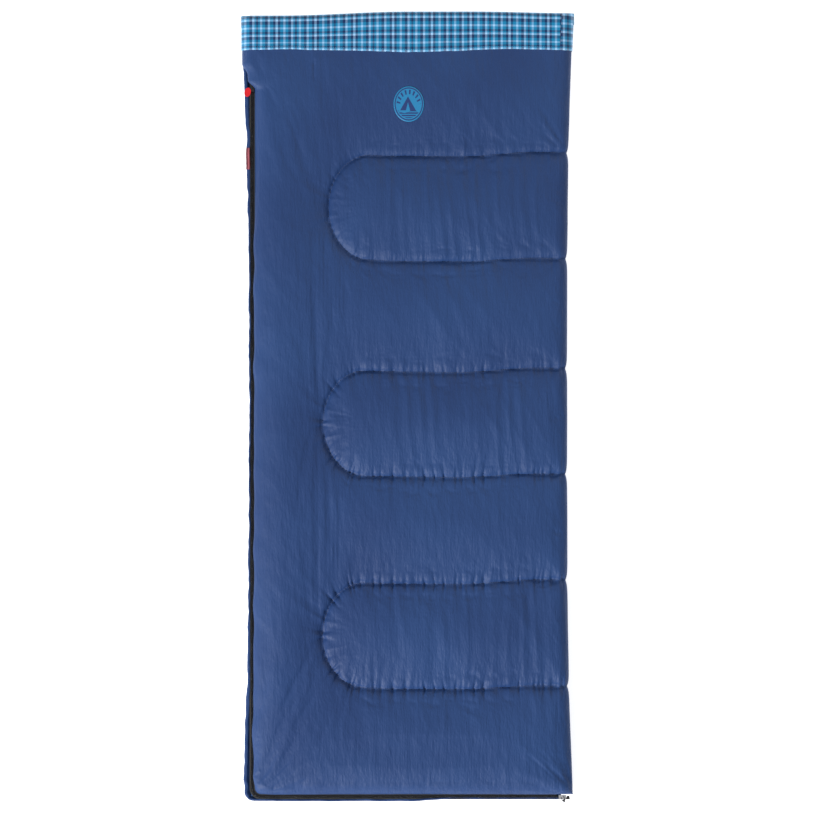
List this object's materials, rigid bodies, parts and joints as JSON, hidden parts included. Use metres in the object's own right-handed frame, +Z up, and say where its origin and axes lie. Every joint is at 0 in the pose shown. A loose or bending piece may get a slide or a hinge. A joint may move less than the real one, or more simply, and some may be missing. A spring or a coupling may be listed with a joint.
{
  "type": "rectangular sleeping bag",
  "caption": "Rectangular quilted sleeping bag, lying zipped up, with a plaid band at the head and an L-shaped two-way zip down one side and across the foot.",
  "frame": {"origin": "on the ground in the middle of the underside", "axes": "+X from the zip side to the fold, +Y along the bag towards the head, +Z up out of the ground"},
  "size_m": [0.7992, 1.9073, 0.0591],
  "materials": {
    "shell": "satin woven polyester",
    "wadding": "lofted polyester fibre",
    "lining": "brushed plaid cloth",
    "plaid": "brushed plaid cloth",
    "zip_tape": "woven tape",
    "zip_teeth": "nylon",
    "silver_metal": "bright plated zinc",
    "black_plastic": "moulded",
    "label": "woven ribbon",
    "thread": "twisted sewing thread",
    "print": "screen print",
    "black_metal": "dark enamel",
    "red_plastic": "moulded"
  },
  "bodies": {
    "lower_panel": {"lower_shell": "shell", "lower_fill": "wadding", "lower_liner": "lining", "lower_cuff": "plaid", "lower_side_facing": "shell", "lower_foot_facing": "shell", "lower_zip_tape": "zip_tape", "lower_zip_coil": "zip_teeth", "lower_top_stop": "silver_metal", "retainer_box": "black_plastic", "side_label": "label", "lower_quilt_stitches": "thread", "fold_shell": "shell", "fold_fill": "wadding", "fold_liner": "lining", "fold_cuff": "plaid"},
    "upper_panel": {"upper_shell": "shell", "upper_fill": "wadding", "upper_liner": "lining", "upper_cuff": "plaid", "upper_side_facing": "shell", "upper_foot_facing": "shell", "upper_zip_tape": "zip_tape", "upper_zip_coil": "zip_teeth", "insertion_pin": "black_plastic", "upper_quilt_stitches": "thread", "cuff_stitches": "thread", "badge_print": "print"},
    "head_slider": {"head_slider_body": "black_metal", "head_slider_bridge": "black_metal"},
    "head_pull": {"head_pull_loop": "black_metal", "head_pull_grip": "red_plastic"},
    "foot_slider": {"foot_slider_body": "silver_metal", "foot_slider_bridge": "silver_metal"},
    "foot_pull": {"foot_pull_link": "black_metal"},
    "foot_ring": {"foot_pull_ring": "silver_metal"}
  },
  "joints": [
    {"name": "panel_fold", "type": "hinge", "parent": "lower_panel", "child": "upper_panel", "pos_m": [0.38, 0, 0.0296], "axis": [0, 1, 0], "range_deg": [0, 180], "deforming": ["fold_shell", "fold_fill", "fold_liner", "fold_cuff"]},
    {"name": "head_slide", "type": "slide", "parent": "lower_panel", "child": "head_slider", "axis": [0, -1, 0], "range_m": [0, 1.65]},
    {"name": "head_pull_swing", "type": "hinge", "parent": "head_slider", "child": "head_pull", "pos_m": [-0.374, 0.768, 0.0342], "axis": [-0.8192, 0.5736, 0], "range_deg": [0, 80]},
    {"name": "foot_slide", "type": "slide", "parent": "lower_panel", "child": "foot_slider", "axis": [-1, 0, 0], "range_m": [0, 0.7]},
    {"name": "foot_pull_swing", "type": "hinge", "parent": "foot_slider", "child": "foot_pull", "pos_m": [0.3725, -0.937, 0.0342], "axis": [-0.9205, -0.3907, 0], "range_deg": [0, 80]},
    {"name": "foot_ring_swing", "type": "hinge", "parent": "foot_pull", "child": "foot_ring", "pos_m": [0.37695, -0.94749, 0.0342], "axis": [-0.9205, -0.3907, 0], "range_deg": [0, 60]}
  ]
}
